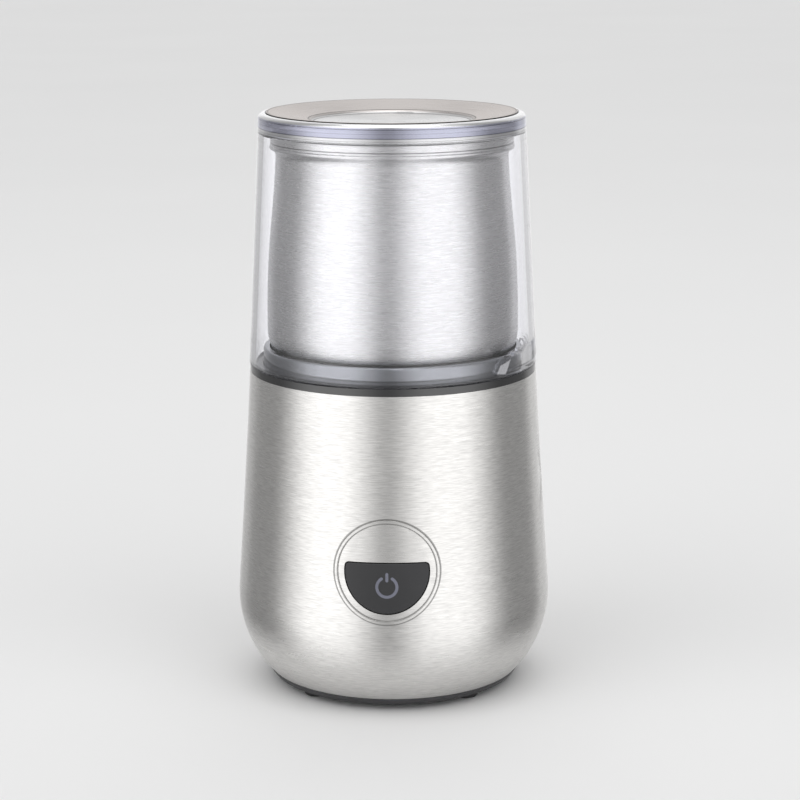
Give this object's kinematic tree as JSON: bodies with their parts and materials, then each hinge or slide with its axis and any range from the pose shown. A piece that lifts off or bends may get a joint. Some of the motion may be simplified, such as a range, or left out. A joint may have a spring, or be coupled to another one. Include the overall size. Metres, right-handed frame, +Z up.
{
  "type": "electric coffee grinder",
  "caption": "Upright electric coffee grinder: a tapered steel barrel with a push button, a lift-out steel cup with a spinning blade, and a clear lid with a steel disc.",
  "frame": {"origin": "centre of the round base on the plane of its feet", "axes": "+Z up along the axis of the barrel, the button faces -Y"},
  "size_m": [0.1112, 0.1116, 0.2029],
  "materials": {
    "barrel_steel": "brushed",
    "ring_black": "gloss",
    "collar_grey": "gloss",
    "housing_black": "satin",
    "black_rubber": "matte",
    "bezel_steel": "brushed",
    "button_charcoal": "matte",
    "switch_black": "satin",
    "nylon": "satin",
    "spring_steel": "bright",
    "zinc_screw": "bright",
    "cast_bracket": "satin",
    "bush_brass": "satin",
    "core_iron": "matte",
    "copper_wire": "gloss",
    "copper_bars": "satin",
    "carbon": "matte",
    "shaft_steel": "ground",
    "fan_plastic": "matte",
    "coupling_black": "satin",
    "cup_steel": "brushed",
    "blade_steel": "ground",
    "clear_lid": "gloss",
    "disc_steel": "brushed",
    "board_green": "satin",
    "film_yellow": "gloss",
    "block_white": "satin"
  },
  "bodies": {
    "housing": {"outer_shell": "barrel_steel", "trim_ring": "ring_black", "cup_collar": "collar_grey", "inner_housing": "housing_black", "shaft_seal": "black_rubber", "cord_gland": "black_rubber", "button_bezel": "bezel_steel", "button_carrier": "housing_black", "power_switch": "switch_black", "interlock_switch": "switch_black", "interlock_spring": "spring_steel", "base_plate": "housing_black", "rubber_feet": "black_rubber", "base_screws": "zinc_screw", "upper_bracket": "cast_bracket", "lower_bracket": "cast_bracket", "upper_bearing": "bush_brass", "lower_bearing": "bush_brass", "motor_dampers": "black_rubber", "bracket_screws": "zinc_screw", "stator_core": "core_iron", "field_coils": "copper_wire", "stator_bolts": "zinc_screw", "brush_holders": "bush_brass", "carbon_brushes": "carbon", "brush_springs": "spring_steel", "circuit_board": "board_green", "noise_capacitor": "film_yellow", "terminal_block": "block_white"},
    "cup": {"grinding_cup": "cup_steel", "cup_foot": "housing_black", "cup_gasket": "black_rubber", "cup_bearing": "bush_brass", "bearing_nut": "bush_brass"},
    "lid": {"lid_shell": "clear_lid", "lid_disc": "disc_steel"},
    "rotor": {"motor_shaft": "shaft_steel", "armature_core": "core_iron", "armature_windings": "copper_wire", "commutator": "copper_bars", "cooling_fan": "fan_plastic", "drive_coupling": "coupling_black"},
    "blade": {"blade_shaft": "blade_steel", "driven_coupling": "coupling_black", "grinding_blade": "blade_steel", "blade_washer": "blade_steel", "blade_nut": "blade_steel"},
    "button": {"button_cap": "button_charcoal", "switch_plunger": "nylon"},
    "rod": {"interlock_rod": "nylon"}
  },
  "joints": [
    {"name": "cup_lift", "type": "slide", "parent": "housing", "child": "cup", "axis": [0, 0, 1], "range_m": [0, 0.045]},
    {"name": "lid_lift", "type": "slide", "parent": "cup", "child": "lid", "axis": [0, 0, 1], "range_m": [0, 0.095]},
    {"name": "motor_spin", "type": "hinge", "parent": "housing", "child": "rotor", "pos_m": [0, 0, 0.05], "axis": [0, 0, 1], "continuous": true},
    {"name": "blade_spin", "type": "hinge", "parent": "cup", "child": "blade", "pos_m": [0, 0, 0.12], "axis": [0, 0, 1], "continuous": true},
    {"name": "button_press", "type": "slide", "parent": "housing", "child": "button", "axis": [0, 1, 0], "range_m": [0, 0.002], "stiffness_N_per_m": 1500, "springref_m": -0.001},
    {"name": "interlock", "type": "slide", "parent": "housing", "child": "rod", "axis": [0, 0, 1], "range_m": [0, 0.003], "deforming": ["interlock_spring"]}
  ],
  "couplings": [
    {"joint": "blade_spin", "follows": "motor_spin", "ratio": 1},
    {"joint": "interlock", "follows": "lid_lift", "ratio": 0.0315}
  ]
}
